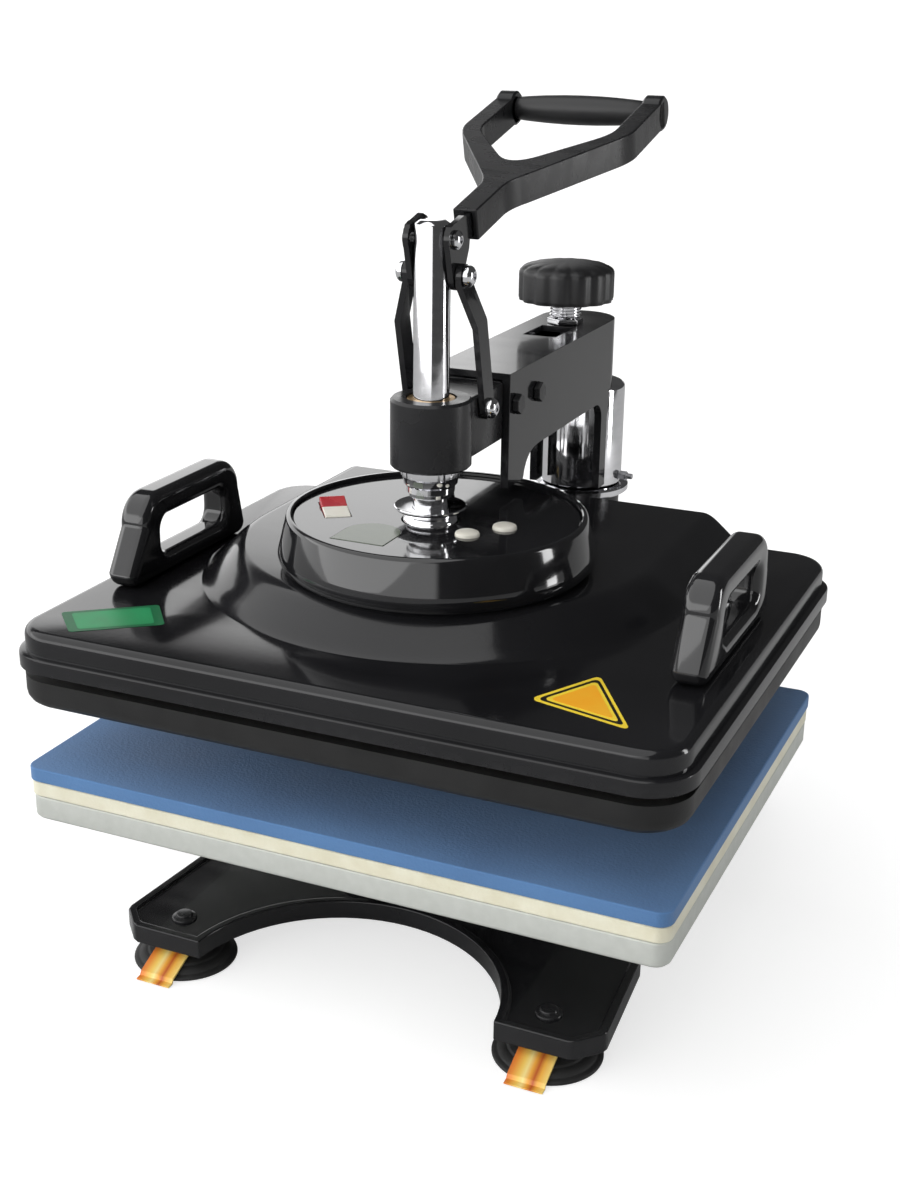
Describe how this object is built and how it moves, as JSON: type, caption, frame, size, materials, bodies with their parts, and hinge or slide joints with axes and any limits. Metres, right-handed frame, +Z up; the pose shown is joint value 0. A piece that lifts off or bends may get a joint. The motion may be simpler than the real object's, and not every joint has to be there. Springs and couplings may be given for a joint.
{
  "type": "heat press",
  "caption": "Swing-away flat heat press with a toggle lever, D handle, domed heated head, padded lower platen and arched base on suction feet.",
  "frame": {"origin": "on the bench, below the middle of the machine's bounding box", "axes": "+Z up, +X across the platens to the operator's right as they face the machine, -Y towards the operator"},
  "size_m": [0.39, 0.431, 0.4802],
  "materials": {
    "frame_gloss_black": "gloss black powder coat",
    "frame_satin_black": "satin black powder coat",
    "cover_gloss_black": "smooth gloss black enamel on pressed steel",
    "housing_gloss_black": "high gloss black",
    "grip_black": "satin black moulding",
    "rubber_black": "matt black",
    "chrome": "bright plated",
    "steel": "bare, lightly brushed",
    "bronze": "bare sintered bronze",
    "plate_aluminium": "cast, as machined",
    "plate_coated": "black non-stick coat",
    "silicone_blue": "matt blue sponge sheet",
    "felt_cream": "cream foam and felt layer",
    "wool_pale": "glass wool",
    "board_green": "lacquered board",
    "switch_red": "gloss red",
    "button_white": "gloss ivory",
    "tab_orange": "printed orange strip",
    "window_smoke": "smoked clear window"
  },
  "bodies": {
    "base": {"base_frame": "frame_gloss_black", "suction_foot_front_left": "rubber_black", "suction_foot_front_right": "rubber_black", "suction_foot_rear_left": "rubber_black", "suction_foot_rear_right": "rubber_black", "foot_tab_left": "tab_orange", "foot_tab_right": "tab_orange", "column_post": "frame_satin_black", "column_collar": "chrome", "platen_pedestal": "frame_satin_black", "platen_stop_bracket": "plate_aluminium", "lower_platen": "plate_aluminium", "felt_layer": "felt_cream", "silicone_pad": "silicone_blue"},
    "swing_arm": {"swing_sleeve": "chrome", "sleeve_set_bolt": "steel", "arm_channel": "frame_gloss_black", "guide_casting": "frame_satin_black", "guide_bush": "bronze", "bush_gland_nut": "chrome", "arm_bolt_front": "frame_satin_black", "arm_bolt_rear": "frame_satin_black", "screw_lock_nut": "chrome"},
    "press_head": {"press_shaft": "chrome", "height_flange": "chrome", "hub_nut": "chrome", "hub_plate": "steel", "platen_stud_1": "steel", "platen_stud_2": "steel", "platen_stud_3": "steel", "platen_stud_4": "steel", "head_cover": "cover_gloss_black", "heat_platen": "plate_coated", "heating_element": "steel", "insulation_blanket": "wool_pale", "control_box": "housing_gloss_black", "control_panel": "housing_gloss_black", "display_window": "window_smoke", "circuit_board": "board_green", "carry_handle_left": "housing_gloss_black", "carry_handle_right": "housing_gloss_black", "power_inlet": "grip_black"},
    "lever": {"lever_plate_left": "frame_gloss_black", "lever_plate_right": "frame_gloss_black", "handle_yoke": "frame_satin_black", "grip_bar": "grip_black", "lever_pivot_bolt": "chrome"},
    "toggle_links": {"link_left": "frame_gloss_black", "link_right": "frame_gloss_black", "crank_bolt_left": "chrome", "crank_bolt_right": "chrome", "link_bolt_left": "chrome", "link_bolt_right": "chrome"},
    "knob": {"pressure_knob": "grip_black", "pressure_screw": "chrome"},
    "nut_block": {"trunnion_nut": "steel"},
    "rocker": {"power_switch": "switch_red"},
    "mode_key": {"mode_button": "button_white"},
    "set_key": {"set_button": "button_white"}
  },
  "joints": [
    {"name": "arm_swing", "type": "hinge", "parent": "base", "child": "swing_arm", "pos_m": [0, 0.1825, 0.25], "axis": [0, 0, 1], "continuous": true},
    {"name": "head_slide", "type": "slide", "parent": "swing_arm", "child": "press_head", "axis": [0, 0, -1], "range_m": [0, 0.0394]},
    {"name": "handle_swing", "type": "hinge", "parent": "press_head", "child": "lever", "pos_m": [0, -0.071, 0.417], "axis": [1, 0, 0], "range_deg": [0, 155]},
    {"name": "link_fold", "type": "hinge", "parent": "lever", "child": "toggle_links", "pos_m": [0, -0.06616, 0.39759], "axis": [1, 0, 0], "range_deg": [-154.5, 0]},
    {"name": "knob_turn", "type": "hinge", "parent": "swing_arm", "child": "knob", "pos_m": [0, 0.14, 0.36], "axis": [0, 0, 1], "range_deg": [-720, 720]},
    {"name": "nut_travel", "type": "slide", "parent": "swing_arm", "child": "nut_block", "axis": [0, 0, 1], "range_m": [-0.0036, 0.0036]},
    {"name": "power_rock", "type": "hinge", "parent": "press_head", "child": "rocker", "pos_m": [-0.057, -0.078, 0.2594], "axis": [-0.8192, -0.5736, 0], "range_deg": [0, 12]},
    {"name": "mode_press", "type": "slide", "parent": "press_head", "child": "mode_key", "axis": [0, 0, -1], "range_m": [0, 0.0012], "stiffness_N_per_m": 1200},
    {"name": "set_press", "type": "slide", "parent": "press_head", "child": "set_key", "axis": [0, 0, -1], "range_m": [0, 0.0012], "stiffness_N_per_m": 1200}
  ],
  "couplings": [
    {"joint": "head_slide", "follows": "handle_swing", "m_per_rad": 0.014529},
    {"joint": "link_fold", "follows": "handle_swing", "ratio": -0.99499},
    {"joint": "nut_travel", "follows": "knob_turn", "m_per_rad": -0.00027852}
  ]
}
